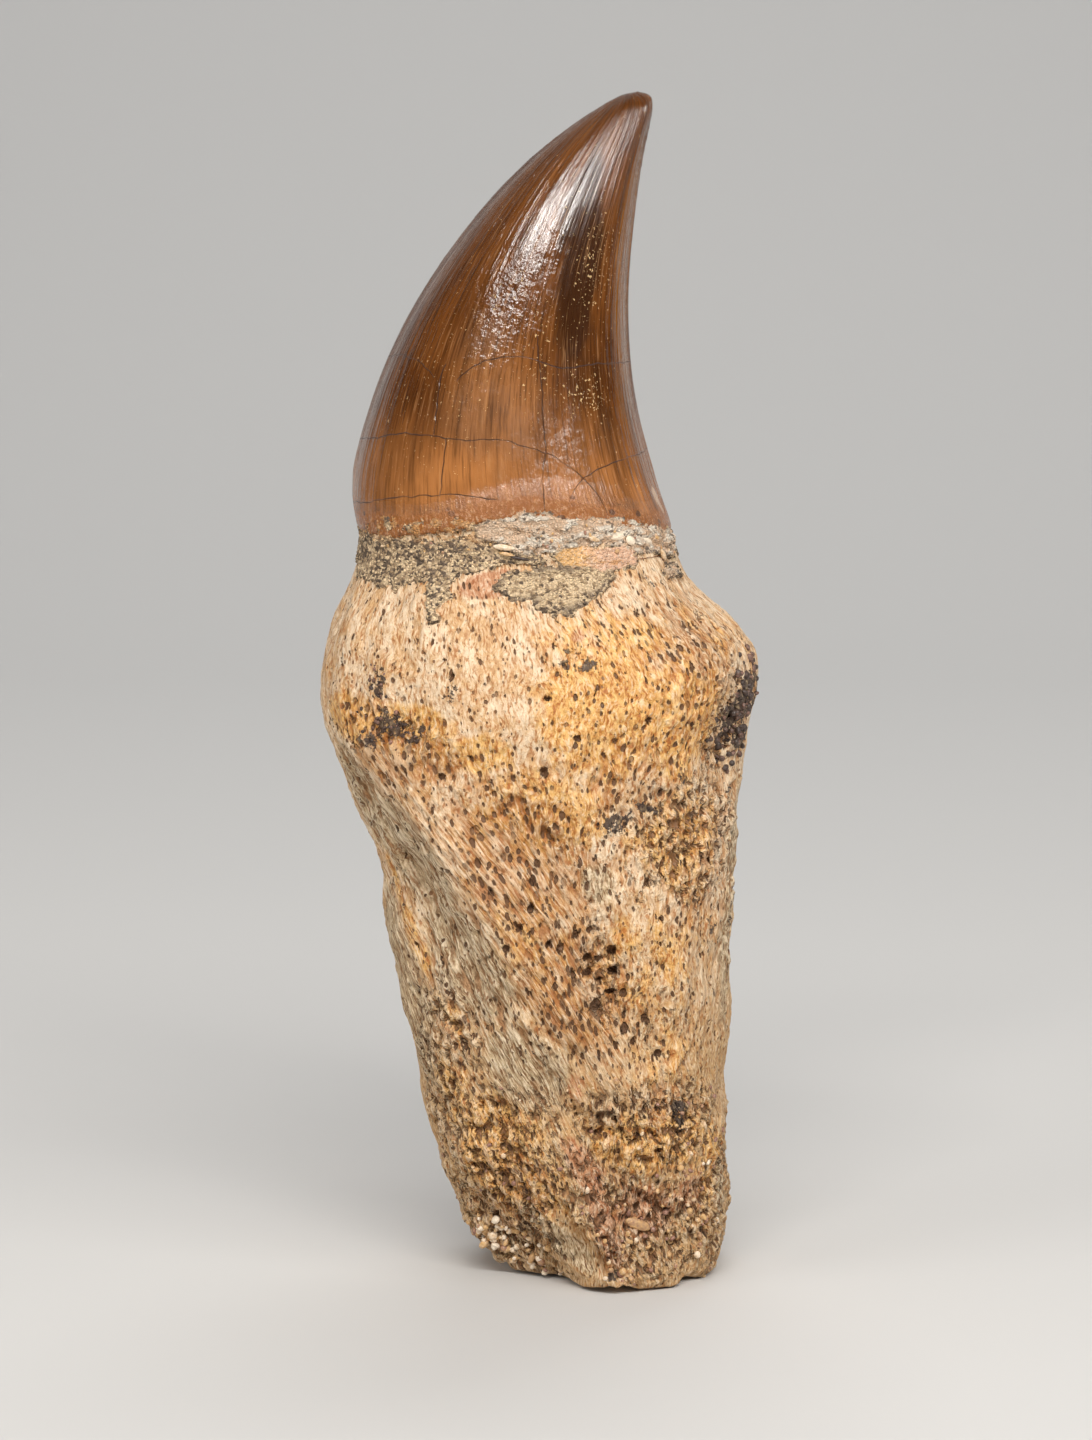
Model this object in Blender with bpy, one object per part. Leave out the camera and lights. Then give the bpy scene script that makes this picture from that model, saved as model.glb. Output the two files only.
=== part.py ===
"""A fossil mosasaur tooth that stands on the broken end of its own root.

The tooth grew as one piece: a recurved crown capped in enamel, a narrow neck, and a swollen, porous root.
It is one closed surface, lofted from level rings. +X is the crown's hooked side, -Y is the face seen from
the front, +Z is up, and the underside rests on z = 0. Sizes are in millimetres up to the last step.
"""

import math

import bmesh
import bpy
from mathutils import Vector, noise

MM = 0.001  # one millimetre, in metres

HEIGHT = 118.0  # floor to the tip of the crown
ENAMEL_LINE = 75.0  # height at which the enamel stops, away from the front
ENAMEL_ARCH = 2.3  # how much higher it stops at the middle of the front
ENAMEL_STEP = 0.45  # how far the enamel stands proud of the bone under it
CARINA = 0.45  # the cutting ridge down each edge of the crown
CARINA_WIDTH = 0.10  # half its width, as a share of the ring's radius

COLUMNS = 72  # points round each ring
ROOT_ROW = 1.9  # height between rings on the root
CROWN_ROW = 3.1  # height between rings on the crown
TIP_ROW = 0.22  # least height between rings, next to the tip
FOOT = 1.4  # height of the lowest ring, from which the underside closes in
CROWN_FOOT = ENAMEL_LINE + 5.0  # lowest level ring of the crown, clear of the ragged edge

# The outline: height, then the left, right, front and back edges at that height.
STATIONS = (
    (0.0, -3.8, 17.9, -12.9, 11.6),
    (2.2, -6.2, 18.7, -13.3, 12.4),
    (6.5, -8.9, 19.3, -13.5, 13.3),
    (14.5, -11.3, 19.1, -14.0, 13.8),
    (21.0, -12.6, 18.6, -14.4, 14.3),
    (29.0, -14.2, 19.1, -15.0, 15.2),
    (37.5, -15.8, 19.6, -15.9, 16.3),
    (41.0, -16.0, 19.9, -16.3, 16.7),
    (48.0, -18.9, 20.1, -17.2, 17.6),
    (54.0, -21.1, 20.8, -17.9, 18.2),
    (58.5, -21.9, 21.9, -18.1, 18.2),
    (62.0, -21.5, 21.9, -17.8, 17.7),
    (65.8, -20.8, 19.6, -16.9, 16.6),
    (69.6, -19.2, 15.4, -15.2, 14.6),
    (74.5, -18.2, 13.4, -13.5, 13.2),
    (79.5, -19.0, 11.8, -13.1, 13.1),
    (86.7, -17.2, 9.8, -11.7, 12.3),
    (93.0, -14.8, 9.0, -10.3, 11.3),
    (99.5, -11.2, 8.9, -8.7, 10.1),
    (106.0, -6.4, 9.5, -6.6, 8.5),
    (111.0, -1.7, 10.2, -4.4, 6.9),
    (114.5, 2.7, 10.9, -2.6, 5.4),
    (116.7, 6.2, 11.1, -1.1, 3.9),
    (117.7, 8.1, 10.8, 0.4, 2.6),
    (118.0, 9.1, 10.1, 1.2, 1.8),
)

# Lumps and hollows: degrees round from the right-hand edge (270 is the front), height,
# half-width and half-height, lean of the long axis in degrees, and rise (a hollow is negative).
RELIEF = (
    (257, 99, 6.0, 14.0, 0, 0.7),  # blunt ridge down the front of the crown
    (299, 97, 6.0, 14.0, 0, -0.6),  # flatter face to its right
    (100, 98, 7.0, 14.0, 0, 0.5),  # blunt ridge down the back of the crown
    (291, 76.5, 9.0, 1.6, 0, 0.6),  # rock that has set over the edge of the enamel
    (280, 70, 5.5, 3.0, 0, -1.3),  # pocket below the enamel, filled with grit
    (226, 72, 6.0, 2.2, 8, -0.8),  # second pocket, at the left
    (328, 54, 4.6, 6.5, 0, -2.0),  # undercut below the right shoulder
    (310, 62, 8.5, 3.0, 25, 1.2),  # lower lip of the right shoulder
    (300, 67, 4.0, 4.0, -30, -0.7),  # dip above that lip
    (233, 60, 5.0, 4.0, 0, -0.6),  # stained dip on the left shoulder
    (208, 56, 6.0, 6.0, 0, 0.5),  # left shoulder
    (218, 43, 4.5, 13.0, 20, -1.9),  # flat left cheek
    (247, 40, 3.4, 14.0, 33, 1.3),  # long slanting swell beside the cheek
    (266, 46, 3.0, 9.0, 25, -0.8),  # trough above the swell
    (284, 33, 2.8, 8.0, 0, -1.4),  # furrow down the middle of the front
    (301, 34, 4.0, 9.0, 0, 0.7),  # pillar to the right of the furrow
    (278, 17.5, 6.5, 1.9, -50, -1.2),  # crease at the foot of the swell
    (304, 17, 6.0, 6.0, 0, 0.8),  # lump low on the right
    (246, 17, 4.5, 5.0, 0, -0.8),  # hollow low on the left
    (229, 2, 7.5, 5.5, 0, -4.4),  # bite out of the lower left
    (276, 0, 4.5, 3.5, 0, 1.3),  # toe that the front stands on
    (266, 9, 2.6, 7.0, 28, 1.6),  # crest between the bite and the break
    (294, 7, 5.5, 4.5, 0, -2.0),  # broken hollow low on the right
    (335, 6, 4.5, 5.0, 0, 0.6),  # knob at the right-hand foot
    (90, 22, 6.0, 10.0, 0, -2.0),  # pit left at the back by a tooth that was growing in
    (90, 35, 8.0, 2.5, 0, 0.9),  # rim above that pit
    (55, 45, 4.0, 13.0, -14, -1.0),  # furrow at the back right
    (130, 48, 7.0, 9.0, 10, 0.9),  # swell at the back left
    (110, 66, 7.0, 3.0, 0, -0.8),  # waist at the back
    (35, 12, 5.0, 5.0, 0, -1.2),  # chip at the back right foot
    (150, 9, 5.0, 4.5, 0, -1.3),  # chip at the back left foot
)
ARC_PER_DEGREE = 0.31  # mean length of one degree round the root

# The bone's own roughness: ridges of grain down the root, knots, and crags that fade out above the foot.
GRAIN_RISE = 0.5
GRAIN_ROUND = 5.2  # how closely the ridges follow each other round the root
GRAIN_DOWN = 0.09  # and how slowly they change down it
KNOT_RISE, KNOT_SIZE = 0.6, 4.3
CRAG_RISE, CRAG_SIZE, CRAG_FADE = 0.9, 2.4, (4.0, 26.0)

# The broken underside: how high its crags reach, and how much of them is worn off flat on the floor.
BREAK_RISE, BREAK_SIZE = 1.4, 6.2
WORN_OFF = 0.8
UNDERSIDE_RINGS = (0.955, 0.86, 0.74, 0.6, 0.45, 0.3, 0.15)  # share of the footprint left at each ring


def slope(low, high, step):
    """Rise per millimetre between two values; level at the ends, where the step is nothing."""
    return (high - low) / step if step else 0.0


def outline_at(height):
    """Left, right, front and back edge at a height, on a smooth curve through the stations."""
    heights = [station[0] for station in STATIONS]
    height = min(max(height, heights[0]), heights[-1])
    i = min(sum(h <= height for h in heights), len(heights) - 1) - 1
    before = STATIONS[max(i - 1, 0)]
    low, high = STATIONS[i], STATIONS[i + 1]
    after = STATIONS[min(i + 2, len(STATIONS) - 1)]
    step = high[0] - low[0]
    t = (height - low[0]) / step
    edges = []
    for k in range(1, 5):
        out = slope(before[k], high[k], high[0] - before[0]) * step
        into = slope(low[k], after[k], after[0] - low[0]) * step
        edges.append(
            (2 * t**3 - 3 * t**2 + 1) * low[k]
            + (t**3 - 2 * t**2 + t) * out
            + (3 * t**2 - 2 * t**3) * high[k]
            + (t**3 - t**2) * into
        )
    return edges


def ramp(value, start, end):
    """0 below start, 1 above end, and a smooth rise between them."""
    t = min(max((value - start) / (end - start), 0.0), 1.0)
    return t * t * (3 - 2 * t)


def enamel_line(angle):
    """Height of the ragged lower edge of the enamel, which arches up over the front."""
    arch = ENAMEL_ARCH * math.exp(-(((math.degrees(angle) - 280) / 32) ** 2))
    around = Vector((math.cos(angle), math.sin(angle), 0.0))
    ragged = 0.6 * noise.noise(around * 3.1) + 0.5 * noise.noise(around * 9.7)
    return ENAMEL_LINE + arch + ragged


def lumps_and_hollows(angle, height):
    total = 0.0
    for around, up, half_wide, half_tall, lean, rise in RELIEF:
        turn = (math.degrees(angle) - around + 180) % 360 - 180
        across, along = turn * ARC_PER_DEGREE, height - up
        tilt = math.radians(lean)
        u = (across * math.cos(tilt) + along * math.sin(tilt)) / half_wide
        v = (along * math.cos(tilt) - across * math.sin(tilt)) / half_tall
        total += rise * math.exp(-(u * u + v * v))
    return total


def bone_roughness(angle, point):
    grain = Vector((math.cos(angle) * GRAIN_ROUND, math.sin(angle) * GRAIN_ROUND, point.z * GRAIN_DOWN))
    crags_here = CRAG_RISE * (1.0 - ramp(point.z, *CRAG_FADE))
    crags = crags_here * noise.noise(point / CRAG_SIZE + Vector((7.3, 1.9, 4.1)))
    return GRAIN_RISE * noise.noise(grain) + KNOT_RISE * noise.noise(point / KNOT_SIZE) + crags


def side_point(angle, height):
    """A point of the tooth's side, at this angle round its axis."""
    left, right, front, back = outline_at(height)
    half_wide, half_deep = (right - left) / 2, (back - front) / 2
    crown = ramp(height, ENAMEL_LINE - 1.0, CROWN_FOOT)
    bone = 1.0 - ramp(height, ENAMEL_LINE - 7.0, ENAMEL_LINE - 1.0)
    below_tip = 1.0 - ramp(height, HEIGHT - 5.0, HEIGHT - 1.0)
    squareness = 2.35 - 0.33 * crown  # 2 is an ellipse, and more is squarer
    c, s = math.cos(angle), math.sin(angle)
    reach = (abs(c) ** squareness + abs(s) ** squareness) ** (-1 / squareness)
    x = (left + right) / 2 + half_wide * reach * c
    y = (front + back) / 2 + half_deep * reach * s
    on_outline = abs(c) ** 6  # near 1 on the edges seen from the front, which stay as they are drawn
    sunk = ENAMEL_STEP if height < enamel_line(angle) - 0.01 else 0.0
    rise = CARINA * crown * below_tip * (max(0.0, 1.0 - abs(s) / CARINA_WIDTH) - on_outline)
    rise -= sunk * (1.0 - bone)
    rise += lumps_and_hollows(angle, height) * (1.0 - 0.8 * on_outline)
    rise += bone * bone_roughness(angle, Vector((x, y, height)))
    outward = Vector((c * half_deep, s * half_wide, 0.0)).normalized()
    return Vector((x, y, height)) + outward * rise


def root_heights():
    rows = round((ENAMEL_LINE - 2.0 - FOOT) / ROOT_ROW)
    return [FOOT + (ENAMEL_LINE - 2.0 - FOOT) * i / rows for i in range(rows + 1)]


def crown_heights():
    """Heights that close up towards the tip, where the crown narrows fast."""
    heights = [CROWN_FOOT]
    while heights[-1] < HEIGHT - TIP_ROW:
        heights.append(heights[-1] + min(CROWN_ROW, max(TIP_ROW, (HEIGHT - heights[-1]) * 0.28)))
    return heights[:-1]


def underside_height(x, y):
    """Height of the broken underside: crags, cut off level where they touch the floor."""
    crag = BREAK_RISE * (0.5 + noise.fractal(Vector((x, y, 3.0)) / BREAK_SIZE, 0.8, 2.1, 3))
    return max(0.0, crag - WORN_OFF)


def ring(bm, points):
    return [bm.verts.new(point) for point in points]


def band(bm, lower, upper, material):
    """Join two rings with a band of faces."""
    for i in range(COLUMNS):
        j = (i + 1) % COLUMNS
        face = bm.faces.new((lower[i], lower[j], upper[j], upper[i]))
        face.material_index = material
        face.smooth = True


def build_sides(bm, angles):
    """The rings of the side, from the foot to the tip. Returns the lowest and the highest ring."""
    rings = [ring(bm, [side_point(a, height) for a in angles]) for height in root_heights()]
    materials = [0] * (len(rings) - 1)
    for offset, material in ((-0.35, 0), (0.0, 0), (1.0, 1)):
        rings.append(ring(bm, [side_point(a, enamel_line(a) + offset) for a in angles]))
        materials.append(material)
    halfway = [side_point(a, (enamel_line(a) + 1.0 + CROWN_FOOT) / 2) for a in angles]
    rings.append(ring(bm, halfway))
    materials.append(1)
    for height in crown_heights():
        rings.append(ring(bm, [side_point(a, height) for a in angles]))
        materials.append(1)
    for lower, upper, material in zip(rings, rings[1:], materials):
        band(bm, lower, upper, material)
    return rings[0], rings[-1]


def close_tip(bm, top_ring):
    left, right, front, back = outline_at(HEIGHT)
    tip = bm.verts.new(((left + right) / 2, (front + back) / 2, HEIGHT))
    for i in range(COLUMNS):
        face = bm.faces.new((top_ring[i], top_ring[(i + 1) % COLUMNS], tip))
        face.material_index = 1
        face.smooth = True


def close_underside(bm, angles, foot_ring):
    """Rings that shrink across the broken underside to a point in its middle."""
    left, right, front, back = outline_at(0.0)
    middle = Vector(((left + right) / 2, (front + back) / 2, 0.0))
    outer = foot_ring
    for share in UNDERSIDE_RINGS:
        points = []
        for angle in angles:
            x, y = (middle + (side_point(angle, 0.0) - middle) * share).xy
            points.append(Vector((x, y, underside_height(x, y))))
        inner = ring(bm, points)
        band(bm, inner, outer, 0)
        outer = inner
    centre = bm.verts.new((middle.x, middle.y, underside_height(middle.x, middle.y)))
    for i in range(COLUMNS):
        bm.faces.new((outer[(i + 1) % COLUMNS], outer[i], centre))


def centre_on_origin(bm):
    """Put the middle of the object's box over the origin, and turn millimetres into metres."""
    for axis in (0, 1):
        values = [v.co[axis] for v in bm.verts]
        middle = (min(values) + max(values)) / 2
        for v in bm.verts:
            v.co[axis] -= middle
    bmesh.ops.scale(bm, vec=(MM, MM, MM), verts=bm.verts)


def finish(name, colour, roughness):
    """A plain material of one colour."""
    material = bpy.data.materials.new(name)
    material.use_nodes = True
    shader = material.node_tree.nodes["Principled BSDF"]
    shader.inputs["Base Color"].default_value = (*colour, 1.0)
    shader.inputs["Roughness"].default_value = roughness
    shader.inputs["Metallic"].default_value = 0.0
    return material


def build_tooth():
    bm = bmesh.new()
    angles = [2 * math.pi * i / COLUMNS for i in range(COLUMNS)]
    foot_ring, top_ring = build_sides(bm, angles)
    close_tip(bm, top_ring)
    close_underside(bm, angles, foot_ring)
    centre_on_origin(bm)
    bmesh.ops.recalc_face_normals(bm, faces=bm.faces)
    mesh = bpy.data.meshes.new("mosasaur_tooth")
    bm.to_mesh(mesh)
    bm.free()
    mesh.materials.append(finish("root bone", (0.62, 0.45, 0.25), 0.8))
    mesh.materials.append(finish("enamel", (0.19, 0.065, 0.018), 0.22))
    tooth = bpy.data.objects.new("mosasaur_tooth", mesh)
    bpy.context.collection.objects.link(tooth)


for leftover in list(bpy.data.objects):
    bpy.data.objects.remove(leftover)
build_tooth()
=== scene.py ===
"""The look of a fossil mosasaur tooth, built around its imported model.

The tooth stands on the broken end of its root: +X is the side the crown hooks over, -Y the face seen
from the front. Lengths named in millimetres are turned into metres by MM.
"""

import math

import bpy
import numpy as np
from mathutils import Euler, Matrix, Quaternion, Vector


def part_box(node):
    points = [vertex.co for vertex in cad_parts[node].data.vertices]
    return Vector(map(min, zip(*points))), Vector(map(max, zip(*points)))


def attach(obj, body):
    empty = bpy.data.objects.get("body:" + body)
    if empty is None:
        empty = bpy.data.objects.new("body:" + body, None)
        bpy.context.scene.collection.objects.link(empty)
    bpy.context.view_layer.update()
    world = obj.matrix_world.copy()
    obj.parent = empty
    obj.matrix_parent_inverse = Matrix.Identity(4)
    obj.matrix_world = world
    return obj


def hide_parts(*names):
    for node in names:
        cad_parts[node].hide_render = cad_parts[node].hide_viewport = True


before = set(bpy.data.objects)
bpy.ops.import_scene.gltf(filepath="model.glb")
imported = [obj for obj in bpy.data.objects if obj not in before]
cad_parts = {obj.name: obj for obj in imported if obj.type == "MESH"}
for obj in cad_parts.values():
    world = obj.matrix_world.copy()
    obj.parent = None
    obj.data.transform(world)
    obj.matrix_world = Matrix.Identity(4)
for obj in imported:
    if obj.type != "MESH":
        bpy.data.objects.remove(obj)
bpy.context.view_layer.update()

MM = 0.001

# Camera
# The tooth is seen from straight in front and a little above, through a long lens from half a metre.

LOOK_DOWN = math.radians(9.0)
CAMERA_DISTANCE = 480 * MM
LOOKED_AT = Vector((0.65, 0.0, 55.66)) * MM

camera_data = bpy.data.cameras.new("camera")
camera_data.lens = 120  # millimetres, as is the sensor
camera_data.sensor_width = 36
camera = bpy.data.objects.new("camera", camera_data)
bpy.context.scene.collection.objects.link(camera)
view_line = Vector((0.0, math.cos(LOOK_DOWN), -math.sin(LOOK_DOWN)))
camera.location = LOOKED_AT - view_line * CAMERA_DISTANCE
camera.rotation_euler = (math.pi / 2 - LOOK_DOWN, 0.0, 0.0)
bpy.context.scene.camera = camera
bpy.context.scene.view_settings.view_transform = "Standard"

# Floor and light
# A pale sheet of card that curves up behind the tooth. A long soft lamp hangs over the camera, with a
# twin that only adds to its highlight, a short one beside it at the right, and two broad ones fill in.

FLOOR_SIZE = 2.4
FLOOR_BACK = 0.9
WALL_HEIGHT = 1.4
SWEEP = 0.5


def alone(piece):
    """Select this object and nothing else, for the operators that follow."""
    bpy.ops.object.select_all(action="DESELECT")
    piece.hide_viewport = False
    piece.select_set(True)
    bpy.context.view_layer.objects.active = piece


def pick_edges(mesh, test):
    """Select the points whose place passes this test, the edges between two such points, and no face."""
    for vertex in mesh.vertices:
        vertex.select = test(vertex.co)
    for edge in mesh.edges:
        edge.select = all(mesh.vertices[i].select for i in edge.vertices)
    for face in mesh.polygons:
        face.select = False


bpy.ops.object.select_all(action="DESELECT")
bpy.ops.mesh.primitive_plane_add(size=FLOOR_SIZE, location=(0.0, FLOOR_BACK - FLOOR_SIZE / 2, 0.0))
floor = bpy.context.object
floor.name = "floor"
bpy.ops.object.transform_apply(location=True)
pick_edges(floor.data, lambda place: place.y > FLOOR_BACK - MM)
bpy.ops.object.mode_set(mode="EDIT")
bpy.ops.mesh.select_mode(type="EDGE")
bpy.ops.mesh.extrude_region_move(TRANSFORM_OT_translate={"value": (0.0, 0.0, WALL_HEIGHT)})
bpy.ops.object.mode_set(mode="OBJECT")
pick_edges(floor.data, lambda place: place.y > FLOOR_BACK - MM and place.z < MM)
bpy.ops.object.mode_set(mode="EDIT")
bpy.ops.mesh.bevel(offset=SWEEP, segments=24, affect="EDGES")
bpy.ops.object.mode_set(mode="OBJECT")
bpy.ops.object.shade_smooth()

card = bpy.data.materials.new("pale card")
card.use_nodes = True
card_shader = card.node_tree.nodes["Principled BSDF"]
card_shader.inputs["Base Color"].default_value = (0.62, 0.61, 0.59, 1.0)
card_shader.inputs["Roughness"].default_value = 0.9
card_shader.inputs["Specular IOR Level"].default_value = 0.1
floor.data.materials.append(card)


def softbox(name, place, aim, size, watts, colour, roll=0.0, mirrored=True, lights=True):
    """A soft rectangular lamp at a place, aimed at a point and rolled by some degrees. One that isn't
    mirrored leaves no highlight, and one that doesn't light leaves nothing else."""
    lamp = bpy.data.lights.new(name, "AREA")
    lamp.shape = "RECTANGLE"
    lamp.size, lamp.size_y = size
    lamp.energy = watts
    lamp.color = colour
    holder = bpy.data.objects.new(name, lamp)
    holder.location = place
    turn = (Vector(aim) - Vector(place)).to_track_quat("-Z", "Y")
    turn = turn @ Quaternion((0.0, 0.0, 1.0), math.radians(roll))
    holder.rotation_euler = turn.to_euler()
    holder.visible_glossy = mirrored
    holder.visible_diffuse = lights
    bpy.context.scene.collection.objects.link(holder)


CROWN_MIDDLE, ROOT_MIDDLE = (0.0, 0.0, 0.09), (0.0, 0.0, 0.05)
WARM_WHITE, SOFT_WHITE, WHITE = (1.0, 0.97, 0.93), (1.0, 0.98, 0.95), (1.0, 1.0, 1.0)
KEY_PLACE, TWIN_PLACE = (0.03, -0.475, 0.505), (0.031, -0.485, 0.515)
KEY_SIZE, KEY_ROLL = (0.54, 0.085), -8.0
RIGHT_PLACE, LEFT_PLACE, BACK_PLACE = (0.35, -0.3, 0.32), (-0.55, -0.3, 0.3), (0.1, 0.5, 0.75)
softbox("key softbox", KEY_PLACE, CROWN_MIDDLE, KEY_SIZE, 3.6, WARM_WHITE, KEY_ROLL)
softbox("highlight softbox", TWIN_PLACE, CROWN_MIDDLE, KEY_SIZE, 4.0, WARM_WHITE, KEY_ROLL, lights=False)
softbox("right softbox", RIGHT_PLACE, CROWN_MIDDLE, (0.26, 0.09), 0.8, WARM_WHITE)
softbox("left softbox", LEFT_PLACE, ROOT_MIDDLE, (0.3, 0.4), 1.1, SOFT_WHITE, mirrored=False)
softbox("back softbox", BACK_PLACE, ROOT_MIDDLE, (0.6, 0.4), 2.6, WHITE, mirrored=False)

world = bpy.data.worlds.new("studio")
world.use_nodes = True
background = world.node_tree.nodes["Background"]
background.inputs["Color"].default_value = (0.9, 0.93, 1.0, 1.0)
background.inputs["Strength"].default_value = 0.25
world.cycles_visibility.glossy = False
bpy.context.scene.world = world

# The grown body
# The tooth grew as one body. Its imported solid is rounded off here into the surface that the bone, the
# rock and the enamel are then each made from, and the run of their grain is measured on it.

ENAMEL_LINE, ENAMEL_ARCH = 75.0, 2.3  # height of the enamel's lower edge, and its arch over the front
ARCH_MIDDLE, ARCH_SPREAD = 280, 32  # degrees round
NECK_LOW, NECK_HIGH = 72.0, 80.5
ROOT_RADIUS, CROWN_RADIUS = 18.0, 12.0  # of the round bar that the grain is drawn on

body = bpy.data.objects.new("body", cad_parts["mosasaur_tooth"].data.copy())
bpy.context.scene.collection.objects.link(body)


def apply_modifier(piece, kind, **settings):
    modifier = piece.modifiers.new(kind.lower(), kind)
    for name, value in settings.items():
        setattr(modifier, name, value)
    alone(piece)
    bpy.ops.object.modifier_apply(modifier=modifier.name)


def places(piece):
    """The piece's points, in millimetres."""
    found = np.empty(len(piece.data.vertices) * 3, np.float32)
    piece.data.vertices.foreach_get("co", found)
    return found.reshape(-1, 3).astype(float) / MM


def keep(piece, name, values):
    """Keep a number or a vector at each point of the piece, for its material to read."""
    kind, field = ("FLOAT_VECTOR", "vector") if values.ndim == 2 else ("FLOAT", "value")
    attribute = piece.data.attributes.new(name, kind, "POINT")
    attribute.data.foreach_set(field, values.astype(np.float32).ravel())


def part_of(source, name, low, high, voxel):
    """A copy of the body between two heights, closed at its cuts, with an even fine mesh."""
    piece = bpy.data.objects.new(name, source.data.copy())
    bpy.context.scene.collection.objects.link(piece)
    alone(piece)
    bpy.ops.object.mode_set(mode="EDIT")
    for height, above in ((low, False), (high, True)):
        if height is None:
            continue
        bpy.ops.mesh.select_all(action="SELECT")
        bpy.ops.mesh.bisect(
            plane_co=(0.0, 0.0, height * MM),
            plane_no=(0.0, 0.0, 1.0),
            use_fill=True,
            clear_outer=above,
            clear_inner=not above,
        )
    bpy.ops.object.mode_set(mode="OBJECT")
    apply_modifier(piece, "REMESH", mode="VOXEL", voxel_size=voxel * MM, use_smooth_shade=True)
    return piece


alone(body)
bpy.ops.object.mode_set(mode="EDIT")
bpy.ops.mesh.select_all(action="SELECT")
bpy.ops.mesh.remove_doubles(threshold=0.001 * MM)
bpy.ops.mesh.tris_convert_to_quads()
bpy.ops.mesh.customdata_custom_splitnormals_clear()
bpy.ops.object.mode_set(mode="OBJECT")
body.data.materials.clear()
apply_modifier(body, "SUBSURF", levels=2, render_levels=2)
heights = places(body)[:, 2]
neck = body.vertex_groups.new(name="neck")
neck.add(np.flatnonzero((heights > NECK_LOW) & (heights < NECK_HIGH)).tolist(), 1.0, "REPLACE")
apply_modifier(body, "SMOOTH", factor=0.5, iterations=24, vertex_group="neck")

# The outline from the front and from the side, at each millimetre up, smoothed over its neighbours
points = places(body)
level = np.arange(0.0, points[:, 2].max() + 1.0)
near = [points[np.abs(points[:, 2] - z) < 1.6, :2] for z in level]
ends = np.array([np.concatenate((ring.min(0), ring.max(0))) for ring in near])
smooth = np.hanning(13)[1:-1] / np.hanning(13).sum()
padded = np.pad(ends, ((5, 5), (0, 0)), mode="reflect", reflect_type="odd")
ends = np.column_stack([np.convolve(column, smooth, "valid") for column in padded.T])
middles = (ends[:, :2] + ends[:, 2:]) / 2
half_widths = (ends[:, 2:] - ends[:, :2]) / 2


def round_and_up(piece):
    """Degrees round the axis, height, and the mean radius at that height, for each point of the piece."""
    x, y, z = places(piece).T
    cx, cy = axis_at(z)
    rx, ry = (np.interp(z, level, half_widths[:, k]) for k in (0, 1))
    return np.degrees(np.arctan2((y - cy) / ry, (x - cx) / rx)) % 360, z, (rx + ry) / 2


def axis_at(z):
    """The place of the tooth's axis, side to side and front to back, at these heights."""
    return (np.interp(z, level, middles[:, k]) for k in (0, 1))


def away(angle, middle):
    """Signed degrees from a middle, -180 to 180."""
    return (angle - middle + 180) % 360 - 180


def grain_of(piece, radius, twist=0.0):
    """Where each point lies along and across the grain, in millimetres. The grain follows the outline, and
    a twist, in radians for each millimetre up, winds it round the axis."""
    angle, z, _ = round_and_up(piece)
    turned = np.radians(angle) + twist * z
    return np.column_stack((radius * np.cos(turned), radius * np.sin(turned), z))


def patches(piece, spots):
    """How much each point lies in one of these spots: degrees round, height, half-width, half-height and
    strength of each, then its lean in degrees if it has one."""
    angle, z, radius = round_and_up(piece)
    total = np.zeros(len(z))
    for around, up, half_wide, half_tall, amount, *lean in spots:
        across = np.radians(away(angle, around)) * radius
        along = z - up
        tilt = math.radians(lean[0] if lean else 0.0)
        u = (across * math.cos(tilt) + along * math.sin(tilt)) / half_wide
        v = (along * math.cos(tilt) - across * math.sin(tilt)) / half_tall
        spot = amount * np.exp(-((u * u + v * v) ** 1.5))
        total = np.where(np.abs(spot) > np.abs(total), spot, total)
    return total


def keep_spots(piece, **tables):
    """Keep how much each point lies in the spots of each table, under the table's name here."""
    for name, spots in tables.items():
        keep(piece, name, patches(piece, spots))


def above_enamel_line(piece):
    """Height of each point over the mean edge of the enamel."""
    angle, z, _ = round_and_up(piece)
    return z - ENAMEL_LINE - ENAMEL_ARCH * np.exp(-((away(angle, ARCH_MIDDLE) / ARCH_SPREAD) ** 2))


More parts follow.
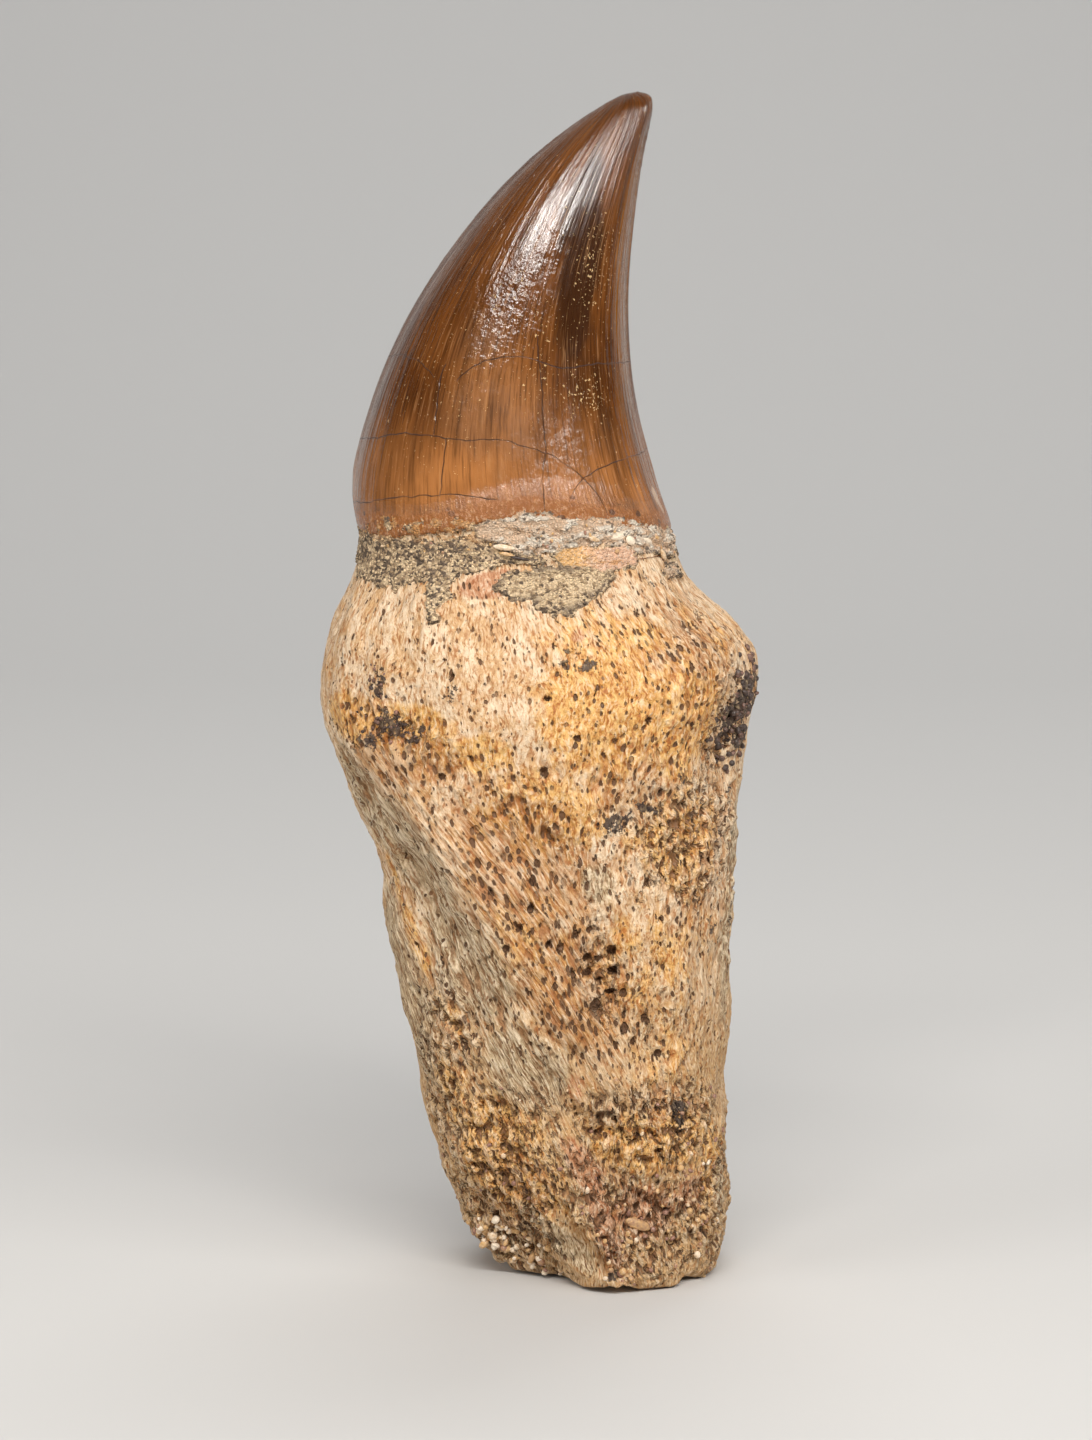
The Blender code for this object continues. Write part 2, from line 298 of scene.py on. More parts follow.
class Nodes:
    """Adds nodes to the tree of a material or a Geometry Nodes modifier. Lengths in it are millimetres."""

    def __init__(self, tree):
        self.tree = tree
        self.shading = tree.bl_idname == "ShaderNodeTree"
        self.colour = None

    def add(self, kind, inputs=None, out=0, **settings):
        """Add a node with these settings. An input is a value, or another node's output to link."""
        node = self.tree.nodes.new(kind)
        for name, value in settings.items():
            setattr(node, name, value)
        for key, value in (inputs or {}).items():
            if isinstance(value, bpy.types.NodeSocket):
                self.tree.links.new(value, node.inputs[key])
            else:
                node.inputs[key].default_value = value
        return node.outputs[out]

    def read(self, name, vector=False):
        """What keep() kept on the piece."""
        if self.shading:
            return self.add("ShaderNodeAttribute", out=1 if vector else 2, attribute_name=name)
        kind = "FLOAT_VECTOR" if vector else "FLOAT"
        return self.add("GeometryNodeInputNamedAttribute", {0: name}, data_type=kind)

    def object_place(self):
        """Object coordinates, in millimetres."""
        if self.shading:
            place = self.add("ShaderNodeTexCoord", out=3)
        else:
            place = self.add("GeometryNodeInputPosition")
        return self.add("ShaderNodeVectorMath", {0: place, 3: 1 / MM}, operation="SCALE")

    def math(self, operation, a, b=0.0):
        return self.add("ShaderNodeMath", {0: a, 1: b}, operation=operation)

    def less(self, a, b):
        return self.math("SUBTRACT", a, b)

    def most(self, a, b):
        return self.math("MAXIMUM", a, b)

    def sum(self, *parts):
        total = parts[0]
        for part in parts[1:]:
            total = self.math("ADD", total, part)
        return total

    def times(self, *parts):
        total = parts[0]
        for part in parts[1:]:
            total = self.math("MULTIPLY", total, part)
        return total

    def sized(self, vector, size, shift):
        """Coordinates for a pattern whose unit is this long on each axis."""
        divided = self.add("ShaderNodeVectorMath", {0: vector, 1: size}, operation="DIVIDE")
        if not any(shift):
            return divided
        return self.add("ShaderNodeVectorMath", {0: divided, 1: shift}, operation="ADD")

    def noise(self, vector, size, detail=2.0, roughness=0.5, shift=(0.0, 0.0, 0.0), out=0):
        inputs = {"Vector": self.sized(vector, size, shift), "Scale": 1.0, "Detail": detail}
        return self.add("ShaderNodeTexNoise", {**inputs, "Roughness": roughness}, out=out)

    def cells(self, vector, size, shift=(0.0, 0.0, 0.0)):
        """Distance from the nearest of some scattered points, and the colour of its cell."""
        inputs = {"Vector": self.sized(vector, size, shift), "Scale": 1.0}
        distance = self.add("ShaderNodeTexVoronoi", inputs)
        return distance, distance.node.outputs[1]

    def ramp(self, value, low, high, start=0.0, end=1.0):
        """From start to end, smoothly, as the value goes from low to high."""
        inputs = {0: value, 1: low, 2: high, 3: start, 4: end}
        return self.add("ShaderNodeMapRange", inputs, interpolation_type="SMOOTHSTEP")

    def scale(self, value, start, end):
        """From start to end as the value goes from 0 to 1."""
        return self.add("ShaderNodeMapRange", {0: value, 1: 0.0, 2: 1.0, 3: start, 4: end})

    def part(self, vector, axis):
        return self.add("ShaderNodeSeparateXYZ", {0: vector}, out="XYZ".index(axis))

    def blend(self, share, a, b):
        """Two numbers mixed."""
        return self.add("ShaderNodeMix", {0: share, 2: a, 3: b}, data_type="FLOAT")

    def mix(self, share, a, b, blend_type="MIX"):
        """Two colours mixed; a colour is three numbers or a socket."""
        inputs = {0: share}
        for key, colour in ((6, a), (7, b)):
            inputs[key] = colour if isinstance(colour, bpy.types.NodeSocket) else (*colour, 1.0)
        return self.add("ShaderNodeMix", inputs, out=2, data_type="RGBA", blend_type=blend_type)

    def over(self, share, tone, blend_type="MIX"):
        """Lay this share of a tone over the material's colour so far."""
        self.colour = self.mix(share, self.colour, tone, blend_type)

    def bent(self, vector, size, reach, shift=(0.0, 0.0, 0.0)):
        """Coordinates pushed about by a noise of this size, by up to half the reach."""
        push = self.noise(vector, size, detail=1.0, shift=shift, out=1)
        push = self.add("ShaderNodeVectorMath", {0: push, 1: (0.5, 0.5, 0.5)}, operation="SUBTRACT")
        push = self.add("ShaderNodeVectorMath", {0: push, 1: reach}, operation="MULTIPLY")
        return self.add("ShaderNodeVectorMath", {0: vector, 1: push}, operation="ADD")

    def ragged(self, mask, noise, reach=0.9, low=0.38, high=0.72):
        """A soft mask with its edge broken up by a noise."""
        broken = self.math("MULTIPLY_ADD", noise, reach)
        broken.node.inputs[2].default_value = -reach / 2
        inside = self.ramp(mask, 0.02, 0.2)
        return self.times(self.ramp(self.sum(mask, broken), low, high), inside)


def carve(piece, relief_of):
    """Move the piece's surface along its normals by a relief in millimetres."""
    tree = bpy.data.node_groups.new(piece.name + " relief", "GeometryNodeTree")
    tree.interface.new_socket("Geometry", in_out="INPUT", socket_type="NodeSocketGeometry")
    tree.interface.new_socket("Geometry", in_out="OUTPUT", socket_type="NodeSocketGeometry")
    nodes = Nodes(tree)
    relief = relief_of(nodes)
    surface = nodes.add("NodeGroupInput")
    outward = nodes.add("GeometryNodeInputNormal")
    along = nodes.add("ShaderNodeVectorMath", {0: outward, 3: nodes.times(relief, MM)}, operation="SCALE")
    moved = nodes.add("GeometryNodeSetPosition", {"Geometry": surface, "Offset": along})
    tree.links.new(moved, tree.nodes.new("NodeGroupOutput").inputs[0])
    apply_modifier(piece, "NODES", node_group=tree)


def stay_in_box(piece):
    """Press the few points that stand out of the tooth's own box back to its faces."""
    points = places(piece) * MM
    low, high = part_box("mosasaur_tooth")
    points = np.clip(points, np.array(low), np.array(high))
    piece.data.vertices.foreach_set("co", points.astype(np.float32).ravel())
    piece.data.update()


def finish_for(piece, name):
    """A new material on the piece: its nodes, and its shader."""
    material = bpy.data.materials.new(name)
    material.use_nodes = True
    piece.data.materials.clear()
    piece.data.materials.append(material)
    return Nodes(material.node_tree), material.node_tree.nodes["Principled BSDF"]


def show(nodes, shader, height, roughness):
    """Give the shader the colour made so far, a bump from a height in millimetres, and its roughness."""
    bump = nodes.add("ShaderNodeBump", {"Strength": 1.0, "Distance": MM, "Height": height})
    nodes.tree.links.new(nodes.colour, shader.inputs["Base Color"])
    nodes.tree.links.new(bump, shader.inputs["Normal"])
    nodes.tree.links.new(roughness, shader.inputs["Roughness"])
    return bump


# Root bone
# The swollen root is porous bone: fine upright pores under the neck, long fibres down the left flank,
# open sponge low down, all stained by the phosphate sand it lay in. Its foot is broken off. Shade in its
# pores, pits, hollows and furrows, and highlight on its crests and ridges, are painted into its colour.

FLANK_TWIST = 0.028  # radians round the axis for each millimetre up

root = part_of(body, "root_bone", low=None, high=78.4, voxel=0.37)
keep(root, "grain", grain_of(root, ROOT_RADIUS))
keep(root, "slanted", grain_of(root, ROOT_RADIUS, FLANK_TWIST))
keep(root, "above", above_enamel_line(root))

OCHRE = (
    (212, 57.5, 6, 3, 0.9), (234, 57, 6, 3.2, 1), (254, 55, 4.5, 2.6, 0.8), (284, 66, 6, 3, 0.65),
    (288, 59, 8, 8, 0.95), (308, 58, 7, 8, 0.9), (270, 49, 8, 6, 0.75), (298, 66, 6, 4, 0.7),
    (312, 46, 8, 8, 0.7), (300, 34, 8, 8, 0.6), (262, 36, 6, 8, 0.6, 20), (325, 66, 5, 4, 0.55),
    (320, 45, 6, 5, 0.6), (205, 41, 1, 4, 0.8, 15), (214, 35, 1.2, 5, 0.9, 20),
    (226, 28, 1.6, 4, 0.7, 25), (240, 13, 7, 9, 0.85), (222, 20, 4, 8, 0.6), (305, 24, 5, 5, 0.55),
    (300, 15.5, 7, 4, 0.9), (328, 12, 4, 6, 0.7), (284, 33, 2, 6, 0.5), (40, 55, 9, 7, 0.8, 10),
    (95, 60, 8, 5, 0.7), (150, 50, 7, 9, 0.8, -15), (70, 30, 7, 8, 0.6), (120, 15, 9, 7, 0.8),
    (20, 20, 6, 10, 0.7), (170, 22, 6, 9, 0.7, 10),
)
BROWN = (
    (262, 44, 8, 10, 0.9, 25), (274, 31, 6.5, 9, 0.85, 20), (240, 49, 4, 5, 0.5), (222, 57, 8, 3.6, 0.6),
    (234, 54, 7, 3.4, 0.9), (316, 64.5, 6, 6, 0.7, 25), (294, 52, 7, 6, 0.6), (312, 58, 6, 6, 0.5),
    (318, 42, 6, 9, 0.55), (312, 27, 6, 6, 0.4), (316, 62, 6, 3, 0.6, 25), (300, 55, 6, 4, 0.35),
    (236, 27.5, 3, 3, 0.55, 20), (244, 11, 6, 6, 0.6), (226, 8, 6, 5, 0.6),
    (277, 4.6, 2.4, 3.4, 0.9, 20), (292, 9, 6, 4, 0.6), (304, 18.5, 4, 4, 0.6), (60, 44, 6, 9, 0.7, -15),
    (115, 38, 7, 8, 0.6, 10), (88, 18, 7, 8, 0.7), (165, 35, 5, 8, 0.5),
)
ASH = (
    (205, 49, 6, 7, 0.9, 20), (222, 44, 6, 8, 0.9, 30), (236, 34, 5, 9, 0.9, 35),
    (200, 30, 6, 14, 0.8, 10), (254, 23, 5, 6, 0.85, 45), (284, 42, 2, 2.6, 0.9),
    (276, 52, 2.5, 2.5, 0.4), (345, 38, 4, 18, 0.75), (338, 9, 3, 5, 0.7), (300, 44, 4, 3, 0.45),
    (262, 15, 2.5, 4, 0.5, 30), (251, 5.2, 1.7, 5.4, 1.1, 45), (10, 40, 6, 16, 0.7, -5),
    (135, 58, 8, 5, 0.6), (50, 20, 6, 9, 0.6, 10), (105, 27, 7, 5, 0.6), (180, 55, 6, 6, 0.7),
)
ROSE = (
    (261, 71.2, 3.6, 1.3, 1.3, 10), (283, 66.6, 1.6, 1, 0.6), (272, 13, 2, 5, 0.8, 25),
    (277, 7, 1.6, 5, 1, 12), (296, 8, 5, 4, 0.75), (316, 9.5, 3, 3, 0.7), (272, 21, 1.5, 2.5, 0.6),
    (75, 68, 4, 2, 0.6), (140, 9, 5, 4, 0.6),
)
SOOT = (
    (225.5, 61.4, 1.5, 2.8, 1, 10), (229, 57.5, 3.1, 2.2, 1.05, -20), (222, 55.6, 2.6, 1.4, 1),
    (238, 56.6, 2.4, 1, 1, 35), (234, 54.2, 1.2, 1, 0.7), (247, 61, 1.6, 1.5, 0.92),
    (241, 67.4, 0.8, 1.8, 0.75, 5), (280, 65.2, 1.7, 1.1, 0.88), (277, 63.8, 1.2, 1, 0.85),
    (284, 63.6, 2.1, 1.1, 0.88, 15), (316, 70.8, 0.6, 2.2, 0.8, 28), (311, 66.2, 0.6, 2.4, 0.75, 28),
    (305, 67.8, 0.5, 1.6, 0.7, 20), (291, 47.9, 2.6, 1.9, 1, 25), (299, 49.5, 2.8, 0.8, 1, -22),
    (310, 52, 2.4, 1, 0.7, -25), (337, 58.6, 2.4, 5.6, 1.15, -40), (332, 55.8, 2.6, 2.2, 1.1),
    (340, 54.6, 2.4, 2.8, 1.05), (350, 57.5, 3.6, 5.5, 1.1), (337, 49, 1.4, 3.4, 0.8),
    (328, 36.6, 1.6, 2.4, 0.85, 15), (345, 37, 1.2, 3.4, 0.9, 10), (308, 18.2, 1.5, 2.4, 1.1),
    (256, 25, 2.4, 0.8, 0.75, -30), (264, 25.4, 1.6, 1, 0.6, -20), (276, 1.9, 1.8, 1, 1),
    (262, 39, 1.6, 1, 0.5), (285, 27.3, 0.8, 0.8, 0.8), (30, 60, 3, 5, 0.9, 10), (62, 52, 3, 2, 0.9),
    (108, 63, 2.5, 2, 0.9, 20), (135, 42, 2, 4, 0.8, 10), (88, 24, 4, 4, 0.9), (165, 15, 2.5, 3, 0.8),
    (35, 10, 3, 3, 0.8),
)
SPONGE = (
    (318, 46, 8, 7, 0.9), (300, 30, 3, 6, 0.4), (284, 32, 2.2, 6, 0.75), (236, 12, 9, 9, 1),
    (215, 18, 5, 10, 0.8), (226, 27, 3.4, 6, 0.75, 25), (258, 18, 4, 4, 0.6), (302, 17, 9, 5, 1),
    (296, 6, 8, 5, 1), (214, 4, 7, 5, 1), (278, 9, 7, 9, 0.7), (334, 8, 5, 8, 0.9),
    (262, 5, 2.6, 6, -1.1, 36), (238, 57, 3.5, 2.5, 0.5), (328, 57, 4, 6, 0.9), (60, 25, 9, 12, 0.8),
    (20, 10, 9, 9, 0.9), (95, 10, 10, 9, 0.9), (150, 12, 9, 10, 0.9), (120, 45, 7, 9, 0.6),
    (40, 50, 6, 8, 0.6),
)
RIDGED = (
    (205, 45, 8, 12, 1, 15), (226, 38, 7, 13, 1, 30), (248, 28, 5, 9, 0.9, 40), (344, 42, 4, 18, 0.9),
    (330, 66, 6, 5, 0.6), (310, 67, 5, 4, 0.5), (10, 40, 6, 20, 0.7), (170, 40, 8, 16, 0.8),
    (90, 52, 8, 7, 0.5),
)
FLANK = (
    (212, 40, 13, 19, 1), (252, 37, 10, 14, 1, 15), (268, 26, 7, 8, 1, 30), (232, 20, 13, 12, 0.9),
    (20, 40, 8, 20, 0.8), (120, 30, 9, 18, 0.8),
)
OPEN_PORES = (
    (280, 34.4, 0.44, 0.5, 1), (284, 34.2, 0.4, 0.4, 1), (288, 35, 0.44, 0.62, 1),
    (280.5, 32.9, 0.5, 0.36, 0.9), (288, 32.9, 0.46, 0.44, 1), (284, 31.9, 0.3, 0.36, 0.9),
    (287, 30.9, 0.42, 0.36, 1), (291, 30.6, 0.42, 0.44, 1), (282, 29.6, 0.66, 0.7, 1),
    (291, 28.5, 0.3, 0.4, 0.9), (291, 27.2, 0.34, 0.6, 1), (293.5, 25.8, 0.34, 0.44, 0.9),
    (276, 36.8, 0.36, 0.55, 1, -15), (275, 32.8, 0.34, 0.46, 0.9, -15), (267, 36, 0.34, 0.5, 0.9, -15),
    (262, 39.6, 0.34, 0.5, 0.9, -15), (268, 31.6, 0.34, 0.5, 0.9, -15), (276, 28.4, 0.34, 0.4, 0.9),
    (271, 35.5, 0.32, 0.6, 1, -15), (253, 35.6, 0.4, 0.5, 0.9, -15), (258, 37.7, 0.36, 0.5, 0.9, -15),
    (264, 42.5, 0.36, 0.6, 0.9, -15), (281, 37.2, 0.4, 0.4, 1), (298, 28, 0.4, 0.55, 0.9),
    (302, 24.4, 0.42, 0.42, 0.9), (287, 25.6, 0.34, 0.42, 0.9), (271, 53.2, 0.42, 0.65, 1),
    (272, 60.6, 0.24, 0.34, 0.9), (280, 56.6, 0.55, 0.34, 0.8, -30), (245.5, 64.2, 0.22, 0.26, 0.9),
    (243, 52.6, 0.5, 0.36, 0.9, 30), (298, 58.2, 0.36, 0.4, 0.8), (318, 44, 0.32, 0.8, 0.9),
    (324, 43.4, 0.3, 0.9, 0.9), (312, 43.8, 0.3, 0.6, 0.9), (70, 40, 0.6, 0.7, 1),
    (75, 37.5, 0.5, 0.6, 1), (110, 50, 0.5, 0.6, 1), (40, 28, 0.6, 0.6, 1), (160, 40, 0.5, 0.7, 1),
)
keep_spots(root, ochre=OCHRE, brown=BROWN, ash=ASH, rose=ROSE, soot=SOOT)
keep_spots(root, sponge=SPONGE, ridged=RIDGED, flank=FLANK, open_pore=OPEN_PORES)

# Edges where flakes have broken off: degrees round, height, half-length, lean, drop, how far on the
# ground is level again, and the side that lies lower, 1 for the right.
LEDGES = (
    (207, 46, 8, 24, 0.5, 2.6, 1), (222, 37, 8, 28, 0.6, 3, 1), (240, 31, 7, 32, 0.4, 2.5, 1),
    (258, 27.5, 7, 40, 0.5, 2.4, 1), (269, 20.8, 3, 35, 0.7, 2.5, -1),
    (277.5, 15.9, 3.2, 62, 0.9, 2.6, 1), (280, 12.8, 2.8, 35, 0.9, 2.4, 1),
    (268.5, 6, 4.2, 27, 1.6, 4.8, -1), (276, 2.2, 2, 10, 1.2, 2.2, 1), (298, 9.6, 3, 62, 0.5, 2, -1),
    (313, 24, 3, -40, 0.4, 2, 1), (340, 40, 9, -4, 0.4, 1.8, 1), (346, 32, 9, 3, 0.4, 1.4, 1),
    (335, 9.5, 5, -8, 0.7, 2.2, 1), (30, 45, 10, -12, 0.7, 3, 1), (65, 25, 8, 25, 0.9, 3, 1),
    (105, 14, 6, -50, 1, 3.5, -1), (150, 30, 9, 15, 0.7, 3, -1),
)
angle, z, radius = round_and_up(root)
drop_here = np.zeros(len(z))
for around, up, half_long, lean, drop, reach, side in LEDGES:
    across = np.radians(away(angle, around)) * radius
    tilt = math.radians(lean)
    off = side * (across * math.cos(tilt) + (z - up) * math.sin(tilt))
    run = (z - up) * math.cos(tilt) - across * math.sin(tilt)
    # The edge stands a little proud, drops at once, and the lower ground rises slowly from there
    step = np.interp(off, (-1.2, 0.0, 0.4, reach), (0.0, 0.25 * drop, -drop, 0.0))
    drop_here += step * np.exp(-((run / half_long) ** 4))
keep(root, "ledge", drop_here)


def bone_texture(nodes):
    """The relief of the bone in millimetres, how far each place is inside a pore, and its fibre, ridge and
    crumb patterns."""
    grain, slanted = nodes.read("grain", vector=True), nodes.read("slanted", vector=True)
    sponge, ridged = nodes.read("sponge"), nodes.read("ridged")
    coarse = nodes.most(nodes.read("brown"), ridged)
    lean = nodes.ramp(nodes.read("flank"), 0.3, 0.7)
    bent = nodes.bent(grain, (2.2, 2.2, 3.5), (0.9, 0.9, 1.3))
    tangled = nodes.bent(bent, (1, 1, 1.3), (0.8, 0.8, 0.6), shift=(6, 1, 2))
    slant = nodes.bent(slanted, (2.2, 2.2, 3.5), (0.9, 0.9, 1.3))
    fibre = nodes.blend(
        lean,
        nodes.noise(tangled, (0.22, 0.22, 0.85), detail=2.5, roughness=0.65),
        nodes.noise(slant, (0.25, 0.25, 1.5), detail=3, roughness=0.65),
    )
    ridge = nodes.blend(
        lean,
        nodes.noise(tangled, (0.75, 0.75, 2.2), detail=1, shift=(3, 0, 6)),
        nodes.noise(slant, (0.72, 0.72, 2.3), detail=1.5, shift=(3, 0, 6)),
    )
    near_pore, kind = nodes.cells(bent, (0.57, 0.57, 1.15))
    wide = nodes.most(nodes.times(nodes.read("brown"), 0.2), nodes.times(sponge, 0.1))
    uneven = nodes.less(fibre, 0.5)
    size = nodes.sum(nodes.scale(nodes.part(kind, "X"), 0.1, 0.31), wide, nodes.times(uneven, -0.3))
    pore = nodes.ramp(nodes.less(near_pore, size), 0.03, -0.1)
    near_pit, pit_kind = nodes.cells(tangled, (1.45, 1.45, 4), shift=(3.7, 1.3, 8.1))
    pit_size = nodes.sum(nodes.scale(nodes.part(pit_kind, "X"), -0.08, 0.14), nodes.times(uneven, -0.5))
    pit = nodes.ramp(nodes.less(near_pit, pit_size), 0.03, -0.05)
    mouth = nodes.sum(nodes.read("open_pore"), nodes.times(uneven, -0.6))
    mouth = nodes.times(nodes.ramp(mouth, 0.32, 0.6), nodes.ramp(nodes.read("open_pore"), 0.02, 0.2))
    pit = nodes.most(pit, mouth)
    crumb = nodes.noise(bent, (0.85, 0.85, 1.1), detail=3, roughness=0.62, shift=(1.9, 7.2, 3.3))
    crumbly = nodes.ramp(nodes.sum(sponge, nodes.times(nodes.less(ridge, 0.5), 1.2)), 0.2, 0.75)
    hollow = nodes.times(nodes.ramp(crumb, 0.49, 0.39), crumbly)
    crest = nodes.times(nodes.ramp(crumb, 0.52, 0.66), crumbly)
    place = nodes.object_place()
    knot = nodes.noise(place, (3.6, 3.6, 4.4), detail=2)
    crag = nodes.noise(place, (1.9, 1.9, 1.5), detail=2, shift=(4, 4, 9))
    low_down = nodes.ramp(nodes.part(place, "Z"), 14, 4, 0, 1.9)
    relief = nodes.sum(
        nodes.times(nodes.less(fibre, 0.55), nodes.scale(ridged, 0.14, 0.4)),
        nodes.times(nodes.less(ridge, 0.6), nodes.scale(coarse, 0.25, 1.1)),
        nodes.times(pore, -0.28),
        nodes.times(pit, -0.6),
        nodes.times(hollow, -0.6),
        nodes.times(crest, 0.25),
        nodes.times(nodes.less(knot, 0.62), nodes.scale(sponge, 0.8, 1.4)),
        nodes.times(nodes.less(crag, 0.62), low_down, nodes.scale(sponge, 0.35, 1)),
    )
    opening = nodes.most(nodes.times(pore, nodes.scale(nodes.part(kind, "Y"), 0.35, 1)), pit)
    return relief, opening, fibre, ridge, hollow, crest


def root_relief(nodes):
    relief, *_ = bone_texture(nodes)
    height = nodes.part(nodes.object_place(), "Z")
    steady = nodes.ramp(height, 0.05, 0.9)  # the foot stays on the floor
    cover = nodes.ramp(nodes.read("above"), 0.2, 1.4)  # the bone dives under the enamel
    relief = nodes.sum(relief, nodes.read("ledge"))
    return nodes.sum(nodes.times(relief, steady), nodes.times(cover, -1.6), -0.1)


carve(root, root_relief)
stay_in_box(root)

IVORY, SAND, CREAM = (0.8, 0.6, 0.395), (0.66, 0.4, 0.19), (1.0, 0.85, 0.64)
GOLD_BROWN = (0.56, 0.34, 0.14)
OCHRE_LIGHT, OCHRE_DEEP = (0.86, 0.51, 0.17), (0.62, 0.29, 0.06)
RED_BROWN, UMBER = (0.38, 0.17, 0.06), (0.055, 0.024, 0.011)
ASH_LIGHT, ASH_DEEP = (0.62, 0.46, 0.27), (0.29, 0.205, 0.11)
ROSE_TONE, PLUM = (0.68, 0.3, 0.155), (0.04, 0.024, 0.021)
BROWN_LINE = (0.6, 0.36, 0.19)  # what a thin stained line, and the painted shade in a furrow, leave of the tone they cross

nodes, bone_shader = finish_for(root, "porous bone")
place = nodes.object_place()
grain = nodes.read("grain", vector=True)
relief, opening, fibre, ridge, hollow, crest = bone_texture(nodes)
coarse = nodes.most(nodes.read("brown"), nodes.read("ridged"))
broad = nodes.noise(place, (9, 9, 12), detail=3)
mottle = nodes.noise(grain, (1.5, 1.5, 3.2), detail=3, roughness=0.6, shift=(2, 2, 2))
speck = nodes.noise(grain, (0.5, 0.5, 0.9), detail=2, roughness=0.6, shift=(7, 1, 5))
grit = nodes.noise(place, (0.75, 0.75, 0.75), detail=3, roughness=0.7)

nodes.colour = nodes.mix(nodes.ramp(mottle, 0.4, 0.6), IVORY, SAND)
low_down = nodes.ramp(nodes.part(place, "Z"), 46, 20)
nodes.over(nodes.times(low_down, nodes.ramp(broad, 0.3, 0.6, 0.45, 0.85)), GOLD_BROWN)
ochre = nodes.most(nodes.read("ochre"), nodes.ramp(broad, 0.52, 0.8, 0, 0.55))
ochre = nodes.ragged(ochre, mottle)
nodes.over(ochre, nodes.mix(nodes.ramp(speck, 0.3, 0.7), OCHRE_LIGHT, OCHRE_DEEP))
brown = nodes.ragged(nodes.read("brown"), speck)
nodes.over(nodes.times(brown, 0.72), nodes.mix(mottle, RED_BROWN, OCHRE_DEEP))
ash = nodes.ragged(nodes.read("ash"), mottle, reach=0.5)
ash_tone = nodes.mix(nodes.ramp(fibre, 0.35, 0.65), ASH_DEEP, ASH_LIGHT)
nodes.over(nodes.times(ash, 0.85), ash_tone)
rose = nodes.ragged(nodes.read("rose"), speck, reach=0.6)
nodes.over(nodes.times(rose, 0.8), nodes.mix(mottle, ROSE_TONE, RED_BROWN))
# Painted highlight: the crests of the sponge and the ridges of the coarse bone are painted pale cream, and
# the fibre's pale strands are partly the bone's own tone, partly painted highlight.
pale = nodes.times(nodes.ramp(fibre, 0.5, 0.66), nodes.scale(coarse, 0.7, 0.95))
pale = nodes.most(pale, nodes.times(crest, 0.8))
pale = nodes.most(pale, nodes.times(nodes.ramp(ridge, 0.52, 0.66), coarse, 0.6))
nodes.over(pale, nodes.mix(0.55, nodes.colour, CREAM))
# Thin stained lines along the fibre, and painted shade in the furrows between the ridges, darken the tone.
stained_lines_and_furrow_shade = nodes.times(nodes.ramp(fibre, 0.51, 0.4), nodes.ramp(speck, 0.35, 0.6, 0.3, 0.9))
furrow = nodes.times(nodes.ramp(ridge, 0.48, 0.34), nodes.scale(coarse, 0.15, 0.9))
stained_lines_and_furrow_shade = nodes.most(stained_lines_and_furrow_shade, furrow)
nodes.over(stained_lines_and_furrow_shade, BROWN_LINE, "MULTIPLY")
# The small dots, the pores and the pits are painted dark brown: partly their own dark colour, partly
# painted shade inside them.
near_dot, dot_kind = nodes.cells(grain, (0.43, 0.43, 0.76), shift=(4, 4, 4))
dot_size = nodes.scale(nodes.part(dot_kind, "Y"), 0, 0.3)
dot = nodes.ramp(nodes.less(near_dot, dot_size), 0.04, -0.08)
nodes.over(nodes.times(dot, 0.92), nodes.mix(speck, UMBER, RED_BROWN))
# Painted shade: the hollows of the sponge are painted dark brown.
nodes.over(nodes.times(hollow, 0.9), nodes.mix(mottle, UMBER, RED_BROWN))
# Painted shade inside the pores and pits, over their own dark brown.
pore_tone = nodes.mix(nodes.times(mottle, 0.5), UMBER, RED_BROWN)
nodes.over(nodes.ramp(opening, 0.1, 0.7, 0, 0.95), pore_tone)
soot_spot = nodes.read("soot")
soot = nodes.ramp(nodes.sum(soot_spot, nodes.times(grit, 1.8)), 1.74, 1.88)
soot = nodes.times(soot, nodes.ramp(soot_spot, 0.05, 0.3))
nodes.over(nodes.times(soot, 0.92), nodes.mix(nodes.ramp(speck, 0.5, 0.75), PLUM, ASH_DEEP))
height = nodes.sum(
    nodes.times(relief, 0.8),
    nodes.times(grit, 0.25),
    nodes.times(speck, 0.14),
    nodes.times(soot, 0.12),
    nodes.times(dot, -0.08),
)
show(nodes, bone_shader, height, nodes.ramp(ochre, 0, 1, 0.72, 0.55))
bone_shader.inputs["Specular IOR Level"].default_value = 0.4

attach(root, "root")
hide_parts("mosasaur_tooth")

# Rock at the neck
# Gritty phosphate rock still fills the groove below the enamel and has set over its edge. It is a thin
# broken crust of light and dark sand grains and pale flakes, proud of the bone where it is left.

rock = part_of(body, "neck_rock", low=65.0, high=82.0, voxel=0.22)
x, y, z = places(rock).T
cx, cy = axis_at(z)
tuck = 1.0 - 0.14 * np.interp(z, (65.5, 67.5, 79.3, 81.0), (1.0, 0.0, 0.0, 1.0))  # hides the cut ends
tucked = np.column_stack((cx + (x - cx) * tuck, cy + (y - cy) * tuck, z)) * MM
rock.data.vertices.foreach_set("co", tucked.astype(np.float32).ravel())
GRIT = (
    (205, 73.2, 3.6, 2.4, 1), (220, 72.9, 4.6, 2.5, 1), (237, 73.2, 4.2, 2, 1),
    (251, 73.9, 4, 1.7, 0.95), (262, 74, 3, 1.3, 0.85), (243, 70.4, 1.4, 1.8, 0.75, 8),
    (241.5, 68.8, 0.8, 1.8, 0.6, 5), (226, 76.4, 6, 1, 0.5), (250, 76.8, 6, 1, 0.5),
    (274, 73.4, 2, 0.7, 0.6), (20, 73.5, 6, 1.6, 0.9), (60, 72.5, 5, 2.2, 0.9), (100, 73.6, 7, 1.3, 0.9),
    (140, 72, 5, 2, 1), (175, 73.4, 5, 1.8, 0.95),
)
